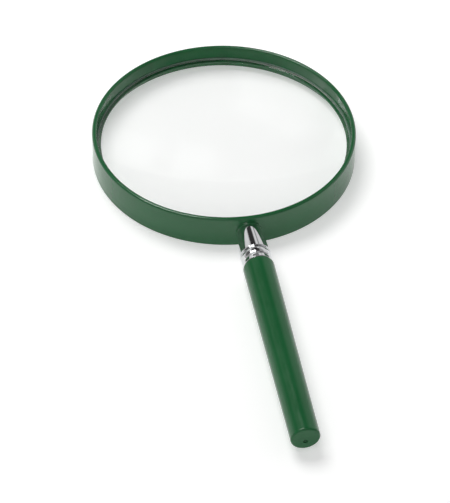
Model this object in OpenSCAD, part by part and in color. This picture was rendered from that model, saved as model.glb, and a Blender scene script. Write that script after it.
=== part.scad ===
// Hand magnifier: a deep moulded rim with a large biconvex lens, a plated neck
// and a tapered moulded handle that screws onto the neck.
//
// Frame: +Z up, the rim and handle lie on the XY plane. The handle runs along
// -Y and the lens axis is parallel to Z. The origin is the centre of the
// object's own footprint, at the height of the surface that it rests on.
// Stations along the neck and handle are distances from the lens axis.

/* [Rim] */
// Outer radius of the rim at its upper lip
rim_r = 65; // [62:0.5:68]
// Extra radius at the base, from the draft of the moulding
rim_draft = 0.35; // [0:0.05:0.6]
// Height of the rim
rim_h = 16.5; // [15.5:0.1:18]
// Thickness of the wall at the lips
rim_wall = 2.2; // [2.1:0.1:2.6]
// Rounding of the outer edge of the upper lip
lip_round = 1.2; // [0.6:0.1:1.2]
// Width of the lens seat, measured inward from the wall
seat_w = 2.2; // [1.6:0.1:2.6]
// Height of the lens seat ledge
seat_h = 2.2; // [1.4:0.1:3]

/* [Lens] */
// Radius of curvature of both lens faces
lens_curve = 460; // [420:10:600]
// Thickness of the lens at its edge
lens_edge = 2; // [1.6:0.1:2.4]
// Gap between the lens edge and the wall of the rim
lens_gap = 0.2; // [0.15:0.05:0.4]

/* [Neck] */
// Station where the boss on the rim ends and the plated neck starts
neck_t0 = 66.1; // [65.9:0.1:66.6]
// Radius of the neck cone at the rim
cone_r0 = 5.7; // [5.2:0.05:5.9]
// Radius of the neck cone at its wide end
cone_r1 = 7.35; // [7:0.05:7.5]
// Station where the neck cone ends
cone_t1 = 81.8; // [80:0.1:84]
// Length of the bead collar
bead_len = 4.4; // [3.6:0.1:5]
// Largest radius of the bead collar
bead_r = 7.25; // [7.1:0.05:7.6]
// Length of the waist washer
washer_len = 2.35; // [1.6:0.05:3]
// Radius of the waist washer, at the handle
washer_r = 7; // [6.6:0.05:7.1]
// How much narrower the washer is at the bead
washer_flare = 0.4; // [0:0.05:0.6]

/* [Screw] */
// Outer radius of the neck screw's thread
screw_r = 2.5; // [2:0.5:2.5]
// Pitch of the thread
screw_pitch = 0.8; // [0.7:0.1:0.8]
// Length of thread held by the handle
engage = 10.2; // [8:0.2:12]

/* [Handle] */
// Length of the handle
handle_len = 103.55; // [90:0.05:125]
// Radius of the handle next to the neck
handle_r0 = 7.4; // [7.1:0.05:7.7]
// Radius of the handle at its free end
handle_r1 = 6.5; // [6:0.05:6.9]
// Rounding of the shoulder next to the neck
shoulder = 1.45; // [0.8:0.05:1.6]
// Radius of the hollow core
core_r = 4.2; // [4:0.1:4.5]
// Thickness of the closed end
end_wall = 3.2; // [2.4:0.1:5]

/* [Hidden] */
$fn = 180;

eps = 0.05;                                  // gap between faces that move apart
base_r = rim_r + rim_draft;
wall_r = rim_r - rim_wall;                   // inner wall of the rim
lip_in = 0.42 * rim_wall;                    // rounding of the inner edge of the upper lip
mid_z = rim_h / 2;                           // mid-plane of the lens, and height of the neck and handle axis
lens_r = wall_r - lens_gap;
ledge_r = wall_r - seat_w;                    // inner edge of the ledge
ring_in = wall_r - 0.5;                      // inner radius of the retaining ring
ring_t = 0.45;                               // thickness of the retaining ring
ring_bite = 0.3;                             // depth of its groove in the wall
sag = dip(lens_r);
seat_top = mid_z - lens_edge / 2 - (sag - dip(ledge_r)) - 0.02;
ring_z = mid_z + lens_edge / 2 + (sag - dip(ring_in)) + 0.03;  // underside of the retaining ring
ring_gap = 9.8;                              // width of the split, opposite the screw's head
boss_r = cone_r0 + 0.3;                      // boss that the neck stands on
head_r = 4.5;                                // countersunk head
head_t = wall_r + 0.25;                      // station of its face
bead_t0 = cone_t1 + 0.05;
bead_t1 = bead_t0 + bead_len;
wash_t0 = bead_t1 + eps;
wash_t1 = wash_t0 + washer_len;
hand_t0 = wash_t1 + eps;
hand_t1 = hand_t0 + handle_len;
ins_t0 = hand_t0 + 0.6;                      // brass insert, sunk a little into the handle's mouth
ins_len = engage + 1;
screw_end = ins_t0 + engage;
axis_y = (hand_t1 - base_r) / 2;             // lens axis, from the centre of the footprint

// Drop of a lens face from its pole, at radius r
function dip(r) = lens_curve - sqrt(lens_curve * lens_curve - r * r);
function arc(cx, cy, r, a0, a1, n) = [for (i = [0:n]) [cx + r * cos(a0 + (a1 - a0) * i / n), cy + r * sin(a0 + (a1 - a0) * i / n)]];
function cap(rad, ed, s, dir, n) = [for (i = [0:n]) let (x = dir > 0 ? ed * (n - i) / n : ed * i / n) [x, dir * (s - (rad - sqrt(rad * rad - x * x)))]];

// Puts a solid drawn around +Z, with z as its station, onto the neck axis
module on_axis() { translate([0, axis_y, mid_z]) rotate([90, 0, 0]) children(); }
module at_lens() { translate([0, axis_y, 0]) children(); }

module rim_section() {
    union() {
        // wall with rounded lips
        polygon(concat(
            [[wall_r, 0], [base_r - 0.25, 0]],
            arc(base_r - 0.25, 0.25, 0.25, -90, 0, 4),
            arc(rim_r - lip_round, rim_h - lip_round, lip_round, 0, 90, 8),
            arc(wall_r + lip_in, rim_h - lip_in, lip_in, 90, 180, 7)
        ));
        // ledge that the lens sits on, with a sloped underside
        polygon([[wall_r + 0.1, seat_top - seat_h], [wall_r - seat_w + 0.5, seat_top - seat_h + 0.3], [wall_r - seat_w, seat_top - seat_h + 0.8],
                 [wall_r - seat_w, seat_top - 0.25], [wall_r - seat_w + 0.25, seat_top], [wall_r + 0.1, seat_top]]);
    }
}

module rim() {
    color([0.05, 0.27, 0.15])
    difference() {
        union() {
            at_lens() difference() {
                rotate_extrude($fn = 240) rim_section();
                // groove that the retaining ring snaps into
                difference() {
                    translate([0, 0, ring_z - 0.03]) cylinder(r = wall_r + ring_bite + 0.05, h = ring_t + 0.06);
                    translate([0, 0, ring_z - 0.5]) cylinder(r = wall_r - 0.4, h = ring_t + 1);
                }
            }
            // boss that the neck stands on
            on_axis() translate([0, 0, rim_r - 1.2]) rotate_extrude()
                polygon(concat([[0, 0], [boss_r, 0]], arc(boss_r - 0.35, neck_t0 - rim_r + 0.85, 0.35, 0, 90, 5), [[0, neck_t0 - rim_r + 1.2]]));
        }
        // notch in the ledge and seat for the screw's head
        on_axis() translate([0, 0, wall_r - seat_w - 2]) cylinder(r = head_r + 0.15, h = seat_w + 2.25);
        on_axis() translate([0, 0, head_t - 0.01]) cylinder(r1 = head_r + 0.02, r2 = screw_r + 0.1, h = head_r - screw_r);
        on_axis() translate([0, 0, wall_r]) cylinder(r = screw_r + 0.1, h = 6);
    }
}

module lens() {
    color([0.9, 0.95, 0.95, 0.35])
    at_lens() translate([0, 0, mid_z]) rotate_extrude($fn = 240) polygon(concat(
        [for (p = cap(lens_curve, lens_r - 0.3, sag, 1, 24)) [p[0], p[1] + lens_edge / 2]],
        [for (p = cap(lens_curve, lens_r - 0.3, sag, -1, 24)) [p[0], p[1] - lens_edge / 2]],
        [[lens_r, -lens_edge / 2 + 0.25], [lens_r, lens_edge / 2 - 0.25]]
    ));
}

module retaining_ring() {
    color([0.62, 0.68, 0.64])
    at_lens() difference() {
        translate([0, 0, ring_z]) rotate_extrude($fn = 240)
            polygon([[ring_in, 0.08], [ring_in + 0.1, 0], [wall_r + ring_bite, 0], [wall_r + ring_bite, ring_t], [ring_in + 0.15, ring_t], [ring_in, ring_t - 0.15]]);
        translate([-ring_gap / 2, -rim_r, ring_z - 1]) cube([ring_gap, 12, ring_t + 2]);
    }
}

module neck_screw() {
    color([0.72, 0.72, 0.73])
    on_axis() difference() {
        union() {
            translate([0, 0, head_t]) cylinder(r1 = head_r, r2 = screw_r, h = head_r - screw_r);
            translate([0, 0, head_t + 0.3]) cylinder(r = screw_r, h = screw_end - head_t - 0.3 - 0.5);
            translate([0, 0, screw_end - 0.5]) cylinder(r1 = screw_r, r2 = screw_r - 0.5, h = 0.5);
        }
        // slot for a screwdriver
        translate([-head_r - 1, -0.6, head_t - 1]) cube([2 * head_r + 2, 1.2, 2]);
    }
}

module neck_cone() {
    color([0.86, 0.87, 0.88])
    on_axis() difference() {
        rotate_extrude() polygon(concat(
            [[0, neck_t0], [cone_r0 - 0.15, neck_t0], [cone_r0, neck_t0 + 0.15]],
            arc(cone_r1 - 0.2, cone_t1 - 0.45, 0.2, 0, 75, 4),
            [[cone_r1 - 0.65, cone_t1 - 0.22], [cone_r1 - 0.65, cone_t1], [0, cone_t1]]
        ));
        translate([0, 0, neck_t0 - 1]) cylinder(r = screw_r + 0.15, h = cone_t1 - neck_t0 + 2);
    }
}

module bead_collar() {
    color([0.86, 0.87, 0.88])
    on_axis() difference() {
        rotate_extrude() polygon(concat(
            [[0, bead_t0], [bead_r - 0.75, bead_t0]],
            [for (i = [0:14]) let (a = -60 + 120 * i / 14) [bead_r - 1.3 + 1.3 * cos(a), (bead_t0 + bead_t1) / 2 + (bead_len / 2 - 0.15) * sin(a) / sin(60)]],
            [[bead_r - 0.75, bead_t1], [0, bead_t1]]
        ));
        translate([0, 0, bead_t0 - 1]) cylinder(r = screw_r + 0.15, h = bead_len + 2);
    }
}

module waist_washer() {
    color([0.86, 0.87, 0.88])
    on_axis() difference() {
        rotate_extrude() polygon([[0, wash_t0], [washer_r - washer_flare - 0.15, wash_t0], [washer_r - washer_flare, wash_t0 + 0.15], [washer_r, wash_t1 - 0.2], [washer_r - 0.2, wash_t1], [0, wash_t1]]);
        translate([0, 0, wash_t0 - 1]) cylinder(r = screw_r + 0.15, h = washer_len + 2);
    }
}

module handle() {
    color([0.05, 0.27, 0.15])
    on_axis() difference() {
        rotate_extrude() polygon(concat(
            [[0, hand_t0], [handle_r0 - shoulder, hand_t0]],
            arc(handle_r0 - shoulder, hand_t0 + shoulder, shoulder, -90, 0, 8),
            arc(handle_r1 - 1, hand_t1 - 1, 1, 0, 90, 7),
            [[0, hand_t1]]
        ));
        // hollow core, open at the neck
        translate([0, 0, hand_t0 - 1]) cylinder(r = core_r, h = handle_len - end_wall + 1 - core_r / 2);
        translate([0, 0, hand_t1 - end_wall - core_r / 2 - 0.01]) cylinder(r1 = core_r, r2 = core_r / 2, h = core_r / 2);
        // dimple around the gate mark on the closed end
        translate([0, -1.5, hand_t1 - 0.6]) cylinder(r = 1.1, h = 1);
    }
    // gate mark
    color([0.05, 0.27, 0.15])
    on_axis() translate([0, -1.5, hand_t1 - 0.8]) cylinder(r = 0.42, h = 0.5);
}

module handle_insert() {
    color([0.78, 0.62, 0.3])
    on_axis() difference() {
        union() {
            translate([0, 0, ins_t0]) cylinder(r = core_r - 0.01, h = ins_len * 0.42);
            translate([0, 0, ins_t0 + ins_len * 0.4]) cylinder(r = core_r - 0.4, h = ins_len * 0.2);
            translate([0, 0, ins_t0 + ins_len * 0.58]) cylinder(r = core_r - 0.01, h = ins_len * 0.42);
        }
        translate([0, 0, ins_t0 - 1]) cylinder(r = screw_r + 0.05, h = ins_len + 2);
    }
}

rim();
lens();
retaining_ring();
neck_screw();
neck_cone();
bead_collar();
waist_washer();
handle();
handle_insert();
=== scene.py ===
import math

import bmesh
import bpy
from mathutils import Matrix, Vector


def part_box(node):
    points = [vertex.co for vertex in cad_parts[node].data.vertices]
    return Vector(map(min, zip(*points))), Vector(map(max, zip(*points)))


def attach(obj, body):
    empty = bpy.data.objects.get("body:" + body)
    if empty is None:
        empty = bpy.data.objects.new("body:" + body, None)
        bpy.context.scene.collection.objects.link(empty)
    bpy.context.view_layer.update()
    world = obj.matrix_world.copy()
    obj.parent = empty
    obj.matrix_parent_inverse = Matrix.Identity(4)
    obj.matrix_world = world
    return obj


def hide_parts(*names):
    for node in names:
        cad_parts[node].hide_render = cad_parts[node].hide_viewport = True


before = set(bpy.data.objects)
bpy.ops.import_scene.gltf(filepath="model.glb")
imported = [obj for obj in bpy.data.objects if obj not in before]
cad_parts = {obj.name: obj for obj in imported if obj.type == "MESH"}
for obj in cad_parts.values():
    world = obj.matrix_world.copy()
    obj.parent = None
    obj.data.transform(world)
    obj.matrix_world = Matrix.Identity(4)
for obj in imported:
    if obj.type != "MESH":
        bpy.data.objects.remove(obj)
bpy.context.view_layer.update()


# ---------------------------------------------------------------- places
# All modelling is in millimetres, in the row frame; finish_piece() turns it
# into metres. Stations t are distances from the lens axis along -Y.

def mm_box(node):
    lo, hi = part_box(node)
    return lo * 1000.0, hi * 1000.0


lens_lo, lens_hi = mm_box("lens")
rim_lo, rim_hi = mm_box("rim")
AXIS_Y = (lens_lo.y + lens_hi.y) / 2
MID_Z = (lens_lo.z + lens_hi.z) / 2


def stations(node):
    lo, hi = mm_box(node)
    return AXIS_Y - hi.y, AXIS_Y - lo.y


def at_lens(x, y, h):
    return (x, AXIS_Y + y, h)


def on_axis(x, y, t):
    return (x, AXIS_Y - t, MID_Z + y)


def on_gate(x, y, t):
    return on_axis(x, y - 1.5, t)


BASE_R = rim_hi.x                      # outer radius at the base
RIM_R = BASE_R - 0.35                  # at the upper lip
RIM_H = rim_hi.z
WALL_R = RIM_R - 2.2
LENS_R = lens_hi.x
CURVE = 460.0
EDGE = 2.0
RING_IN = WALL_R - 0.5
LEDGE_R = WALL_R - 2.2


def dip(r):
    return CURVE - math.sqrt(CURVE * CURVE - r * r)


ring_lo, ring_hi = mm_box("retaining_ring")
RING_Z, RING_TOP = ring_lo.z, ring_hi.z
SEAT = MID_Z - EDGE / 2 - (dip(LENS_R) - dip(LEDGE_R)) - 0.02
CONE_T0, CONE_T1 = stations("neck_cone")
BEAD_T0, BEAD_T1 = stations("bead_collar")
WASH_T0, WASH_T1 = stations("waist_washer")
HAND_T0, HAND_T1 = stations("handle")
INS_T0, INS_T1 = stations("handle_insert")
HEAD_T, SCREW_END = stations("neck_screw")
HEAD_R = 4.5
SCREW_R = 2.5
PITCH = 0.8


# ---------------------------------------------------------------- mesh tools

def rounded(pts, n=6, closed=True):
    """Outline with its corners rounded. A point is (x, y) or (x, y, radius[, steps])."""
    out = []
    count = len(pts)
    for i, p in enumerate(pts):
        r = p[2] if len(p) > 2 else 0.0
        here = Vector((p[0], p[1]))
        if r <= 0 or (not closed and i in (0, count - 1)):
            out.append((here.x, here.y))
            continue
        before = Vector(pts[i - 1][:2])
        after = Vector(pts[(i + 1) % count][:2])
        u, v = (before - here).normalized(), (after - here).normalized()
        half = u.angle(v) / 2
        reach = r / math.tan(half)
        centre = here + (u + v).normalized() * (r / math.sin(half))
        s, e = here + u * reach - centre, here + v * reach - centre
        a0, a1 = math.atan2(s.y, s.x), math.atan2(e.y, e.x)
        turn = (a1 - a0 + math.pi) % (2 * math.pi) - math.pi
        steps = p[3] if len(p) > 3 else n
        for k in range(steps + 1):
            a = a0 + turn * k / steps
            out.append((centre.x + r * math.cos(a), centre.y + r * math.sin(a)))
    return out


def held(prof, h=0.12, least=0.5, closed=True, far=None):
    """Adds holding points near both ends of the long straight stretches, and splits the longest ones."""
    out = []
    count = len(prof)
    for i in range(count if closed else count - 1):
        a, b = Vector(prof[i]), Vector(prof[(i + 1) % count])
        out.append((a.x, a.y))
        length = (b - a).length
        if length > least:
            d = (b - a) / length
            marks = [h]
            if far:
                inner = int(length / far)
                marks += [length * (k + 1) / (inner + 1) for k in range(inner)]
            marks.append(length - h)
            for m in marks:
                q = a + d * m
                out.append((q.x, q.y))
    if not closed:
        out.append(tuple(prof[-1]))
    return out


def new_mesh(name, verts, faces):
    me = bpy.data.meshes.new(name)
    me.from_pydata([tuple(v) for v in verts], [], faces)
    me.update()
    o = bpy.data.objects.new(name, me)
    bpy.context.scene.collection.objects.link(o)
    tidy(o, 1e-5)
    return o


def tidy(o, merge):
    bm = bmesh.new()
    bm.from_mesh(o.data)
    bmesh.ops.remove_doubles(bm, verts=bm.verts, dist=merge)
    bmesh.ops.dissolve_degenerate(bm, edges=bm.edges, dist=merge)
    bmesh.ops.recalc_face_normals(bm, faces=bm.faces)
    bm.to_mesh(o.data)
    bm.free()
    o.data.update()


def lathe(name, prof, place, segs=256, closed=True, radial=None, sweep=None):
    """Turns an outline of (radius, height) points about place's axis. A radius of 0 is a pole."""
    a0, a1 = sweep or (0.0, 2 * math.pi)
    count = segs if sweep is None else segs + 1
    verts, rows = [], []
    for r, h in prof:
        if r < 1e-6:
            rows.append([len(verts)])
            verts.append(place(0, 0, h))
            continue
        row = []
        for k in range(count):
            a = a0 + (a1 - a0) * k / segs
            rr = radial(r, h, a) if radial else r
            row.append(len(verts))
            verts.append(place(rr * math.cos(a), rr * math.sin(a), h))
        rows.append(row)
    faces = []
    n = len(prof)
    for i in range(n if closed else n - 1):
        A, B = rows[i], rows[(i + 1) % n]
        if len(A) == 1 and len(B) == 1:
            continue
        for k in range(segs):
            k2 = (k + 1) % count
            if len(A) == 1:
                faces.append((A[0], B[k], B[k2]))
            elif len(B) == 1:
                faces.append((A[k], B[0], A[k2]))
            else:
                faces.append((A[k], B[k], B[k2], A[k2]))
    if sweep is not None:
        faces.append([row[0] for row in rows])
        faces.append([row[-1] for row in rows][::-1])
    return new_mesh(name, verts, faces)


def helix_rod(name, t0, t1, grow, place, segs=72):
    """A solid rod with a right-hand metric thread cut along all of it, capped at both ends."""
    prof = [(0.0, SCREW_R), (0.1, SCREW_R), (0.35, SCREW_R - 0.49), (0.55, SCREW_R - 0.49)]
    m = len(prof)
    turns = int((t1 - t0) / PITCH) + 2
    first = math.floor(t0 / PITCH) - 1
    verts, faces = [], []
    for i in range(turns * segs + 1):
        a = 2 * math.pi * i / segs
        base = PITCH * (first + i / segs)
        for s, r in prof:
            verts.append(place((r + grow) * math.cos(a), (r + grow) * math.sin(a), base + s))
    last = turns * segs
    for i in range(last - segs):
        for j in range(m):
            a, b = i * m + j, (i + 1) * m + j
            if j < m - 1:
                faces.append((a, b, b + 1, a + 1))
            else:
                faces.append((a, b, (i + 1 + segs) * m, (i + segs) * m))
    used = (last - segs) * m
    # the strip of the last turn is left out, so its first points close the far end
    low = [i * m for i in range(segs)] + [segs * m] + [j for j in range(m - 1, 0, -1)]
    high = [(last - segs + i) * m for i in range(segs)] + [last * m] + [used + j for j in range(m - 1, 0, -1)]
    for loop, t in ((low, PITCH * first - 0.4), (high, PITCH * (first + turns) + 0.4)):
        c = len(verts)
        verts.append(place(0, 0, t))
        for k in range(len(loop)):
            faces.append((loop[k], loop[(k + 1) % len(loop)], c))
    keep = sorted({v for f in faces for v in f})
    index = {v: k for k, v in enumerate(keep)}
    return new_mesh(name, [verts[v] for v in keep], [tuple(index[v] for v in f) for f in faces])


def boolean(obj, other, op):
    m = obj.modifiers.new("cut", "BOOLEAN")
    m.operation = op
    m.solver = "EXACT"
    m.object = other
    bpy.context.view_layer.update()
    shape = bpy.data.meshes.new_from_object(obj.evaluated_get(bpy.context.evaluated_depsgraph_get()))
    obj.modifiers.clear()
    old, obj.data = obj.data, shape
    bpy.data.meshes.remove(old)
    bpy.data.objects.remove(other)
    return obj


def finish_piece(o, name, body, mats, angle=28.0, merge=2e-4):
    """Metres, clean normals, smooth shading with sharp creases kept, then its place in the frame."""
    o.name = name + "_look"
    tidy(o, merge)
    bm = bmesh.new()
    bm.from_mesh(o.data)
    open_edges = sum(1 for e in bm.edges if not e.is_manifold)
    volume = bm.calc_volume(signed=True)
    bm.free()
    o.data.transform(Matrix.Scale(0.001, 4))
    for p in o.data.polygons:
        p.use_smooth = True
    o.data.set_sharp_from_angle(angle=math.radians(angle))
    for m in mats:
        o.data.materials.append(m)
    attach(o, body)
    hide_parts(name)
    print(f"piece {name}: {len(o.data.vertices)} vertices, open edges {open_edges}, volume {volume:.1f} mm3")
    return o


# ---------------------------------------------------------------- materials

def node(tree, kind, inputs=None, **props):
    n = tree.nodes.new(kind)
    for k, v in props.items():
        setattr(n, k, v)
    for k, v in (inputs or {}).items():
        s = n.inputs[k]
        if isinstance(v, bpy.types.NodeSocket):
            tree.links.new(v, s)
        else:
            s.default_value = v
    return n


def material(name):
    m = bpy.data.materials.new(name)
    m.use_nodes = True
    t = m.node_tree
    bsdf = next(n for n in t.nodes if n.type == "BSDF_PRINCIPLED")
    out = next(n for n in t.nodes if n.type == "OUTPUT_MATERIAL")
    coord = node(t, "ShaderNodeTexCoord").outputs["Object"]
    return m, t, bsdf, out, coord


def noise(t, coord, scale, detail=2.0, rough=0.5, stretch=None):
    if stretch:
        coord = node(t, "ShaderNodeMapping", {"Vector": coord, "Scale": stretch}).outputs["Vector"]
    return node(t, "ShaderNodeTexNoise", {"Vector": coord, "Scale": scale, "Detail": detail, "Roughness": rough}).outputs["Fac"]


def mapped(t, value, a, b, c, d, smooth=False):
    return node(t, "ShaderNodeMapRange", {"Value": value, "From Min": a, "From Max": b, "To Min": c, "To Max": d},
                interpolation_type="SMOOTHSTEP" if smooth else "LINEAR", clamp=True).outputs["Result"]


def math_node(t, op, a, b=0.0, c=0.0):
    n = node(t, "ShaderNodeMath", operation=op)
    for s, v in zip(n.inputs, (a, b, c)):
        if isinstance(v, bpy.types.NodeSocket):
            t.links.new(v, s)
        else:
            s.default_value = v
    return n.outputs[0]


def mixed(t, factor, a, b):
    n = node(t, "ShaderNodeMix", data_type="RGBA")
    for s, v in ((n.inputs[0], factor), (n.inputs[6], a), (n.inputs[7], b)):
        if isinstance(v, bpy.types.NodeSocket):
            t.links.new(v, s)
        else:
            s.default_value = v
    return n.outputs[2]


def green_plastic(name, rough=0.13, stretch=None, sheen=0.5, tone=1.0):
    m, t, bsdf, out, coord = material(name)
    broad = noise(t, coord, 38.0, 3.0, 0.55)
    cloud = noise(t, coord, 420.0, 3.0, 0.6, stretch)
    deep, fair, pale = (tuple(c * tone for c in rgb) + (1,) for rgb in
                        ((0.0125, 0.1070, 0.0345), (0.0155, 0.1210, 0.0405), (0.0200, 0.1330, 0.0490)))
    colour = mixed(t, mapped(t, broad, 0.32, 0.68, 0.0, 1.0), deep, fair)
    colour = mixed(t, mapped(t, cloud, 0.55, 0.80, 0.0, 0.30), colour, pale)
    t.links.new(colour, bsdf.inputs["Base Color"])
    wipe = noise(t, coord, 900.0, 4.0, 0.65, (1.0, 0.14, 1.0))
    r = math_node(t, "ADD", mapped(t, cloud, 0.3, 0.75, rough - 0.03, rough + 0.05),
                  mapped(t, wipe, 0.60, 0.78, 0.0, 0.06))
    t.links.new(r, bsdf.inputs["Roughness"])
    swell = noise(t, coord, 170.0, 2.0, 0.5, (1.0, 0.22, 1.0) if stretch else None)
    peel = noise(t, coord, 950.0, 2.0, 0.5)
    height = math_node(t, "ADD", math_node(t, "MULTIPLY", swell, 3.2), math_node(t, "MULTIPLY", peel, 0.7))
    bump = node(t, "ShaderNodeBump", {"Strength": 0.16, "Distance": 0.00012, "Height": height})
    t.links.new(bump.outputs["Normal"], bsdf.inputs["Normal"])
    bsdf.inputs["IOR"].default_value = 1.47
    bsdf.inputs["Specular IOR Level"].default_value = sheen
    return m


def plated(name, base, rough, lines=None):
    """Bright plating over a turned part: fine turning lines, faint haze and a few specks."""
    m, t, bsdf, out, coord = material(name)
    haze = noise(t, coord, 260.0, 4.0, 0.6)
    speck = noise(t, coord, 6500.0, 1.0, 0.5)
    line = noise(t, coord, 1.0, 2.0, 0.6, lines or (300.0, 9000.0, 300.0))
    colour = mixed(t, mapped(t, haze, 0.35, 0.7, 0.0, 1.0), base, tuple(c * 0.93 for c in base[:3]) + (1,))
    colour = mixed(t, mapped(t, speck, 0.72, 0.78, 0.0, 0.35), colour, tuple(c * 0.45 for c in base[:3]) + (1,))
    t.links.new(colour, bsdf.inputs["Base Color"])
    bsdf.inputs["Metallic"].default_value = 1.0
    r = math_node(t, "ADD", mapped(t, haze, 0.35, 0.75, rough, rough + 0.05), mapped(t, line, 0.5, 0.8, 0.0, 0.06))
    t.links.new(r, bsdf.inputs["Roughness"])
    bump = node(t, "ShaderNodeBump", {"Strength": 0.05, "Distance": 0.00003, "Height": line})
    t.links.new(bump.outputs["Normal"], bsdf.inputs["Normal"])
    return m


def ring_plastic(name):
    m, t, bsdf, out, coord = material(name)
    broad = noise(t, coord, 90.0, 3.0, 0.6)
    t.links.new(mixed(t, mapped(t, broad, 0.35, 0.65, 0.0, 1.0), (0.115, 0.200, 0.150, 1), (0.145, 0.235, 0.180, 1)), bsdf.inputs["Base Color"])
    fine = noise(t, coord, 2400.0, 3.0, 0.6)
    t.links.new(mapped(t, fine, 0.3, 0.7, 0.25, 0.38), bsdf.inputs["Roughness"])
    bump = node(t, "ShaderNodeBump", {"Strength": 0.10, "Distance": 0.00005, "Height": fine})
    t.links.new(bump.outputs["Normal"], bsdf.inputs["Normal"])
    return m


def glass(name, rough_lo, rough_hi, tint, bump_strength=0.0):
    """Clear glass. Lamp and bounced rays pass straight through it, so the surface below is lit evenly.
    Rays caught between its two faces get out dimmed, where they would end black."""
    m, t, bsdf, out, coord = material(name)
    bsdf.inputs["Base Color"].default_value = tint
    bsdf.inputs["Transmission Weight"].default_value = 1.0
    bsdf.inputs["IOR"].default_value = 1.52
    smear = noise(t, coord, 55.0, 4.0, 0.6)
    t.links.new(mapped(t, smear, 0.50, 0.80, rough_lo, rough_hi), bsdf.inputs["Roughness"])
    if bump_strength:
        grain = noise(t, coord, 4200.0, 3.0, 0.6)
        bump = node(t, "ShaderNodeBump", {"Strength": bump_strength, "Distance": 0.00006, "Height": grain})
        t.links.new(bump.outputs["Normal"], bsdf.inputs["Normal"])
    path = node(t, "ShaderNodeLightPath")
    lamp = math_node(t, "MAXIMUM", path.outputs["Is Shadow Ray"], path.outputs["Is Diffuse Ray"])
    clear = node(t, "ShaderNodeBsdfTransparent", {"Color": (0.982, 0.985, 0.983, 1)})
    mix = node(t, "ShaderNodeMixShader", {0: lamp, 1: bsdf.outputs["BSDF"], 2: clear.outputs["BSDF"]})
    caught = math_node(t, "GREATER_THAN", path.outputs["Glossy Depth"], 1.5)
    way_out = node(t, "ShaderNodeBsdfTransparent", {"Color": (0.30, 0.31, 0.305, 1)})
    mix = node(t, "ShaderNodeMixShader", {0: caught, 1: mix.outputs["Shader"], 2: way_out.outputs["BSDF"]})
    t.links.new(mix.outputs["Shader"], out.inputs["Surface"])
    return m


GREEN = green_plastic("green_plastic")
GREEN_HANDLE = green_plastic("green_plastic_handle", 0.15, (1.0, 0.35, 1.0), 0.32, 0.97)
CHROME = plated("bright_plating", (0.71, 0.72, 0.73, 1), 0.03)
STEEL = plated("screw_steel", (0.52, 0.52, 0.53, 1), 0.20, (900.0, 900.0, 900.0))
BRASS = plated("insert_brass", (0.70, 0.50, 0.20, 1), 0.22, (900.0, 900.0, 900.0))
RING = ring_plastic("ring_plastic")
GLASS = glass("lens_glass", 0.0, 0.012, (0.993, 0.997, 0.995, 1))
GROUND = glass("ground_edge", 0.45, 0.55, (0.90, 0.95, 0.93, 1), 0.4)


# ---------------------------------------------------------------- rim

rim_line = held(rounded([
    (WALL_R, 0.0, 0.25),
    (BASE_R, 0.0, 0.25, 5),
    (RIM_R, RIM_H, 1.15, 10),
    (WALL_R, RIM_H, 0.92, 9),
    (WALL_R, RING_TOP + 0.03, 0.05, 2),
    (WALL_R + 0.35, RING_TOP + 0.03, 0.05, 2),
    (WALL_R + 0.35, RING_Z - 0.03, 0.05, 2),
    (WALL_R, RING_Z - 0.03, 0.05, 2),
    (WALL_R, SEAT, 0.15, 3),
    (LEDGE_R, SEAT, 0.25, 4),
    (LEDGE_R, SEAT - 1.4, 0.3, 4),
    (LEDGE_R + 0.5, SEAT - 1.9, 0.3, 4),
    (WALL_R, SEAT - 2.2, 0.4, 4),
]), 0.14, 0.6)
rim = lathe("rim_look", rim_line, at_lens, 360)

boss_r = 6.0
boss_end = AXIS_Y - rim_lo.y
boss = lathe("boss", rounded([
    (0.0, RIM_R - 1.3),
    (boss_r + 0.42, RIM_R - 1.3),
    (boss_r + 0.42, RIM_R - 0.28, 0.05, 2),
    (boss_r, RIM_R + 0.20, 0.5, 6),
    (boss_r, boss_end, 0.35, 7),
    (0.0, boss_end),
], closed=False), on_axis, 120, closed=False)
rim = boolean(rim, boss, "UNION")
seat_cut = lathe("seat_cut", rounded([
    (0.0, LEDGE_R - 2.0),
    (HEAD_R + 0.15, LEDGE_R - 2.0),
    (HEAD_R + 0.15, HEAD_T - 0.01, 0.05, 2),
    (HEAD_R + 0.02, HEAD_T + 0.02),
    (SCREW_R + 0.1, HEAD_T + HEAD_R - SCREW_R, 0.1, 2),
    (SCREW_R + 0.1, boss_end + 1.0),
    (0.0, boss_end + 1.0),
], closed=False), on_axis, 96, closed=False)
rim = boolean(rim, seat_cut, "DIFFERENCE")
finish_piece(rim, "rim", "rim", [GREEN])


# ---------------------------------------------------------------- lens

face_r = LENS_R - 0.3
steps = 44
upper = [(face_r * (steps - i) / steps, MID_Z + EDGE / 2 + dip(LENS_R) - dip(face_r * (steps - i) / steps)) for i in range(steps + 1)]
lower = [(r, 2 * MID_Z - z) for r, z in reversed(upper)]
bevel = [
    (LENS_R, MID_Z - EDGE / 2 + 0.25), (LENS_R, MID_Z - EDGE / 2 + 0.45),
    (LENS_R, MID_Z), (LENS_R, MID_Z + EDGE / 2 - 0.45), (LENS_R, MID_Z + EDGE / 2 - 0.25),
]
lens = lathe("lens_look", lower + bevel + upper, at_lens, 300, closed=False)
finish_piece(lens, "lens", "rim", [GLASS, GROUND], 20.0)
for p in lens.data.polygons:
    c = p.center
    if math.hypot(c.x, c.y - AXIS_Y * 0.001) * 1000 > face_r + 0.01:
        p.material_index = 1


# ---------------------------------------------------------------- retaining ring

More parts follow.
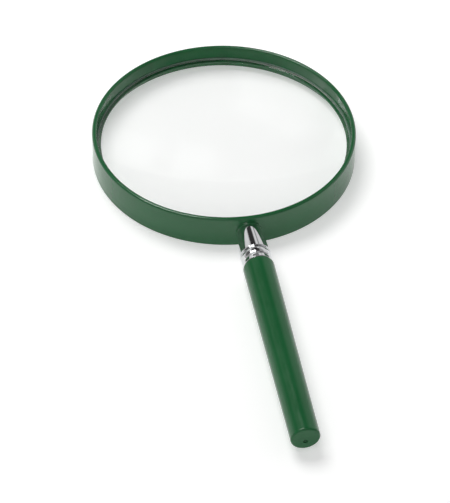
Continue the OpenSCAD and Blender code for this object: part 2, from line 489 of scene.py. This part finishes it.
gap = math.asin(4.9 / (WALL_R - 0.5))
ring = lathe("ring_look", rounded([
    (RING_IN, RING_Z + 0.08, 0.03, 2),
    (RING_IN + 0.10, RING_Z, 0.03, 2),
    (WALL_R + 0.3, RING_Z, 0.05, 2),
    (WALL_R + 0.3, RING_TOP, 0.05, 2),
    (RING_IN + 0.15, RING_TOP, 0.06, 3),
    (RING_IN, RING_TOP - 0.15, 0.06, 3),
]), at_lens, 340, sweep=(-math.pi / 2 + gap, 1.5 * math.pi - gap))
finish_piece(ring, "retaining_ring", "rim", [RING], 24.0)


# ---------------------------------------------------------------- neck

bore = SCREW_R + 0.15
cone_r0, cone_r1 = 5.7, mm_box("neck_cone")[1].x
cone = lathe("cone_look", held(rounded([
    (bore, CONE_T0, 0.1, 2),
    (cone_r0, CONE_T0, 0.14, 4),
    (cone_r1, CONE_T1 - 0.25, 0.20, 6),
    (cone_r1 - 0.65, CONE_T1 - 0.22, 0.03, 2),
    (cone_r1 - 0.65, CONE_T1, 0.05, 2),
    (bore, CONE_T1, 0.1, 2),
]), 0.12, 0.5, far=3.0), on_axis, 192)
finish_piece(cone, "neck_cone", "rim", [CHROME])

bead_r = mm_box("bead_collar")[1].x
bulge = []
for i in range(29):
    a = math.radians(-62 + 124 * i / 28)
    bulge.append((bead_r - 1.3 + 1.3 * math.cos(a),
                  (BEAD_T0 + BEAD_T1) / 2 + ((BEAD_T1 - BEAD_T0) / 2 - 0.15) * math.sin(a) / math.sin(math.radians(62))))
bead = lathe("bead_look", rounded(
    [(bore, BEAD_T0, 0.1, 2), (bead_r - 0.8, BEAD_T0, 0.06, 2)] + bulge + [(bead_r - 0.8, BEAD_T1, 0.06, 2), (bore, BEAD_T1, 0.1, 2)]
), on_axis, 192)
finish_piece(bead, "bead_collar", "rim", [CHROME])

wash_r = mm_box("waist_washer")[1].x
washer = lathe("washer_look", held(rounded([
    (bore, WASH_T0, 0.1, 2),
    (wash_r - 0.42, WASH_T0, 0.15, 4),
    (wash_r, WASH_T1 - 0.15, 0.18, 5),
    (wash_r - 0.2, WASH_T1, 0.1, 3),
    (bore, WASH_T1, 0.1, 2),
]), 0.1, 0.5), on_axis, 192)
finish_piece(washer, "waist_washer", "washer", [CHROME])


# ---------------------------------------------------------------- screw

THREAD_T0 = BEAD_T0 + 2.0
screw = lathe("screw_look", rounded([
    (0.0, HEAD_T),
    (HEAD_R, HEAD_T, 0.12, 3),
    (SCREW_R, HEAD_T + HEAD_R - SCREW_R, 0.15, 3),
    (SCREW_R, THREAD_T0, 0.1, 2),
    (SCREW_R - 0.45, THREAD_T0 + 0.3),
    (0.0, THREAD_T0 + 0.3),
], closed=False), on_axis, 96, closed=False)
rod = helix_rod("thread", THREAD_T0 - 1.0, SCREW_END + 1.0, 0.0, on_axis)
envelope = lathe("envelope", [
    (0.0, THREAD_T0), (SCREW_R + 0.4, THREAD_T0), (SCREW_R + 0.4, SCREW_END - 0.9),
    (SCREW_R - 0.5, SCREW_END), (0.0, SCREW_END)], on_axis, 96, closed=False)
rod = boolean(rod, envelope, "INTERSECT")
screw = boolean(screw, rod, "UNION")
slot_half = 0.6
slot_verts = [on_axis(x, y, t) for t in (HEAD_T - 1, HEAD_T + 1.0) for x, y in
              ((-HEAD_R - 1, -slot_half), (HEAD_R + 1, -slot_half), (HEAD_R + 1, slot_half), (-HEAD_R - 1, slot_half))]
slot_cut = new_mesh("slot_cut", slot_verts, [(0, 1, 2, 3), (4, 5, 6, 7), (0, 1, 5, 4), (1, 2, 6, 5), (2, 3, 7, 6), (3, 0, 4, 7)])
screw = boolean(screw, slot_cut, "DIFFERENCE")
finish_piece(screw, "neck_screw", "rim", [STEEL], 30.0)


# ---------------------------------------------------------------- handle

hand_lo, hand_hi = mm_box("handle")
hr0, hr1 = hand_hi.x, 6.5
core = 4.2
core_end = HAND_T1 - 3.2
handle = lathe("handle_look", held(rounded([
    (0.0, HAND_T1),
    (hr1, HAND_T1, 1.0, 10),
    (hr0, HAND_T0, 1.43, 12),
    (core, HAND_T0, 0.25, 3),
    (core, core_end - 2.1, 0.3, 3),
    (core / 2, core_end, 0.3, 3),
    (0.0, core_end),
], closed=False), 0.15, 0.8, closed=False, far=6.0), on_axis, 144, closed=False)
dish = lathe("dish", rounded([
    (0.0, HAND_T1 - 0.6),
    (0.92, HAND_T1 - 0.6, 0.25, 5),
    (1.10, HAND_T1 + 0.02, 0.0),
    (1.10, HAND_T1 + 0.6),
    (0.0, HAND_T1 + 0.6),
], closed=False), on_gate, 48, closed=False)
handle = boolean(handle, dish, "DIFFERENCE")
nub = lathe("nub", rounded([
    (0.0, HAND_T1 - 0.9),
    (0.42, HAND_T1 - 0.9),
    (0.38, HAND_T1 - 0.3, 0.12, 3),
    (0.0, HAND_T1 - 0.3),
], closed=False), on_gate, 32, closed=False)
handle = boolean(handle, nub, "UNION")
finish_piece(handle, "handle", "handle", [GREEN_HANDLE])


# ---------------------------------------------------------------- insert

def knurl(r, h, a):
    if r < core - 0.1:
        return r
    return r - 0.17 * abs(math.sin(24 * a))


ins_len = INS_T1 - INS_T0
insert = lathe("insert_look", rounded([
    (SCREW_R - 0.3, INS_T0 + 0.0),
    (core - 0.35, INS_T0),
    (core - 0.01, INS_T0 + 0.3),
    (core - 0.01, INS_T0 + ins_len * 0.42 - 0.2),
    (core - 0.4, INS_T0 + ins_len * 0.42),
    (core - 0.4, INS_T0 + ins_len * 0.58),
    (core - 0.01, INS_T0 + ins_len * 0.58 + 0.2),
    (core - 0.01, INS_T1 - 0.3),
    (core - 0.35, INS_T1),
    (SCREW_R - 0.3, INS_T1),
]), on_axis, 288, radial=knurl)
# filled up to the axis first, so that the thread cuts its own bore
plug = lathe("plug", [(0.0, INS_T0), (SCREW_R + 0.5, INS_T0), (SCREW_R + 0.5, INS_T1), (0.0, INS_T1)], on_axis, 96, closed=False)
insert = boolean(insert, plug, "UNION")
tap = helix_rod("tap", INS_T0 - 1.2, INS_T1 + 1.2, 0.05, on_axis)
insert = boolean(insert, tap, "DIFFERENCE")
finish_piece(insert, "handle_insert", "handle", [BRASS], 30.0)


# ---------------------------------------------------------------- floor and light

floor_mesh = bpy.data.meshes.new("floor")
floor_mesh.from_pydata([(-6, -6, 0), (6, -6, 0), (6, 6, 0), (-6, 6, 0)], [], [(0, 1, 2, 3)])
floor = bpy.data.objects.new("floor", floor_mesh)
floor.location = (0, 0, -0.00004)
bpy.context.scene.collection.objects.link(floor)
fm, ft, fb, fo, fc = material("floor_white")
fb.inputs["Base Color"].default_value = (0.85, 0.85, 0.85, 1)
fb.inputs["Roughness"].default_value = 0.9
fb.inputs["Specular IOR Level"].default_value = 0.1
fb.inputs["Emission Color"].default_value = (1.0, 1.0, 1.0, 1)
fb.inputs["Emission Strength"].default_value = 0.385
floor_mesh.materials.append(fm)


HIGH = 1.6


def ceiling_light(name, x0, x1, y0, y1, radiance, colour=(1, 1, 1), diffuse=True, glossy=True):
    """A flat box overhead that shines straight down. Its edges are in units of its own height."""
    data = bpy.data.lights.new(name, "AREA")
    data.shape = "RECTANGLE"
    data.size, data.size_y = (x1 - x0) * HIGH, (y1 - y0) * HIGH
    data.energy = radiance * math.pi * data.size * data.size_y
    data.color = colour
    o = bpy.data.objects.new(name, data)
    o.location = ((x0 + x1) / 2 * HIGH, (y0 + y1) / 2 * HIGH, HIGH)
    o.visible_diffuse = diffuse
    o.visible_glossy = glossy
    o.visible_transmission = diffuse and glossy
    bpy.context.scene.collection.objects.link(o)
    return o


# The broad key gives the light and the soft shadows, and the small one the highlights.
ceiling_light("key", -0.66, 0.08, 0.30, 0.98, 6.3, (1.0, 0.998, 0.992), glossy=False)
ceiling_light("key_shine", -0.76, -0.06, 0.04, 0.58, 13.5, (1.0, 0.998, 0.992), diffuse=False)
ceiling_light("strip_back", -1.10, -0.05, 0.70, 1.25, 0.32)
ceiling_light("strip_far", -1.10, -0.45, 1.25, 1.60, 0.80)
ceiling_light("strip_front", -1.10, -0.05, -1.00, 0.12, 0.45)

world = bpy.data.worlds.new("studio")
bpy.context.scene.world = world
world.use_nodes = True
wt = world.node_tree
wt.nodes.clear()
way = node(wt, "ShaderNodeVectorMath", {0: node(wt, "ShaderNodeTexCoord").outputs["Generated"]}, operation="NORMALIZE").outputs[0]
xyz = node(wt, "ShaderNodeSeparateXYZ", {0: way})
wx, wy, wz = xyz.outputs[0], xyz.outputs[1], xyz.outputs[2]
# Dark ceiling, pale over the front half. Pale walls: up to 30 degrees at the back, lower on the left, and all of the right side.
lefty = mapped(wt, wx, -0.70, -0.45, 1.0, 0.0, True)
front = mapped(wt, wy, -0.60, -0.15, 1.0, 0.0, True)
edge = math_node(wt, "SUBTRACT", 0.49, math_node(wt, "MULTIPLY", lefty, 0.23))
edge = math_node(wt, "ADD", edge, math_node(wt, "MULTIPLY", front, 0.10))
low = mapped(wt, math_node(wt, "SUBTRACT", edge, wz), -0.03, 0.03, 0.0, 1.0, True)
wall = math_node(wt, "SUBTRACT", 0.75, math_node(wt, "MULTIPLY", lefty, 0.27))
wall = math_node(wt, "SUBTRACT", wall, math_node(wt, "MULTIPLY", front, 0.15))
ceiling = math_node(wt, "MAXIMUM", mapped(wt, wz, 0.57, 0.65, 0.14, 0.05, True), mapped(wt, wy, -0.22, -0.02, 0.38, 0.0, True))
main = math_node(wt, "MAXIMUM", math_node(wt, "MULTIPLY", low, math_node(wt, "ADD", wall, 0.10)), ceiling)
over = math_node(wt, "DIVIDE", wx, math_node(wt, "MAXIMUM", wz, 0.30))
start = mapped(wt, wz, 0.55, 0.70, 0.20, 0.42, True)
blend = mapped(wt, wz, 0.10, 0.35, 1.60, 0.08, True)
right_side = mapped(wt, math_node(wt, "DIVIDE", math_node(wt, "SUBTRACT", over, start), blend), 0.0, 1.0, 0.0, 1.0, True)
right_wall = mapped(wt, wz, 0.55, 0.68, 0.80, 0.36, True)
right_wall = math_node(wt, "MULTIPLY", right_wall, mapped(wt, wy, -0.45, 0.10, 0.30, 1.0, True))
gap = math_node(wt, "MULTIPLY", math_node(wt, "SUBTRACT", 1.0, right_side), main)
level = math_node(wt, "ADD", gap, math_node(wt, "MULTIPLY", right_side, right_wall))
# two dark uprights against the back wall
aside = math_node(wt, "DIVIDE", wx, math_node(wt, "MAXIMUM", wy, 0.05))
for left, right, foot, depth in ((-0.28, 0.22, 0.24, 0.72), (0.42, 0.52, 0.26, 0.60)):
    a = mapped(wt, aside, left - 0.025, left + 0.025, 0.0, 1.0, True)
    b = mapped(wt, aside, right - 0.025, right + 0.025, 1.0, 0.0, True)
    c = mapped(wt, wz, foot - 0.03, foot + 0.03, 0.0, 1.0, True)
    inside = math_node(wt, "MULTIPLY", math_node(wt, "MULTIPLY", a, b), c)
    level = math_node(wt, "MULTIPLY", level, math_node(wt, "SUBTRACT", 1.0, math_node(wt, "MULTIPLY", inside, depth)))
bg = node(wt, "ShaderNodeBackground", {"Strength": level, "Color": (1.0, 1.0, 1.0, 1)})
wo = node(wt, "ShaderNodeOutputWorld")
wt.links.new(bg.outputs["Background"], wo.inputs["Surface"])


# ---------------------------------------------------------------- camera

def turned(v, phi=math.radians(11.02)):
    return Vector((v.x * math.cos(phi) + v.y * math.sin(phi), -v.x * math.sin(phi) + v.y * math.cos(phi), v.z))


el, roll = math.radians(45.19), math.radians(0.881)
right = Vector((1, 0, 0))
up = Vector((0, math.sin(el), math.cos(el)))
ahead = Vector((0, math.cos(el), -math.sin(el)))
spot = -ahead * 900.0 + right * 1.405 + up * -49.37
cx = turned(right * math.cos(roll) + up * math.sin(roll))
cy = turned(-right * math.sin(roll) + up * math.cos(roll))
cz = turned(-ahead)
place = (turned(spot) + Vector((0, AXIS_Y, 0))) * 0.001
cam_data = bpy.data.cameras.new("camera")
cam_data.sensor_width = 36.0
cam_data.lens = 1803.0 / 503.0 * 36.0
cam_data.clip_start, cam_data.clip_end = 0.02, 60.0
cam = bpy.data.objects.new("camera", cam_data)
cam.matrix_world = Matrix(((cx.x, cy.x, cz.x, place.x), (cx.y, cy.y, cz.y, place.y), (cx.z, cy.z, cz.z, place.z), (0, 0, 0, 1)))
bpy.context.scene.collection.objects.link(cam)
bpy.context.scene.camera = cam

bpy.context.scene.view_settings.view_transform = "Standard"
bpy.context.scene.view_settings.look = "None"
bpy.context.scene.view_settings.exposure = 0.0
bpy.context.scene.view_settings.gamma = 1.0
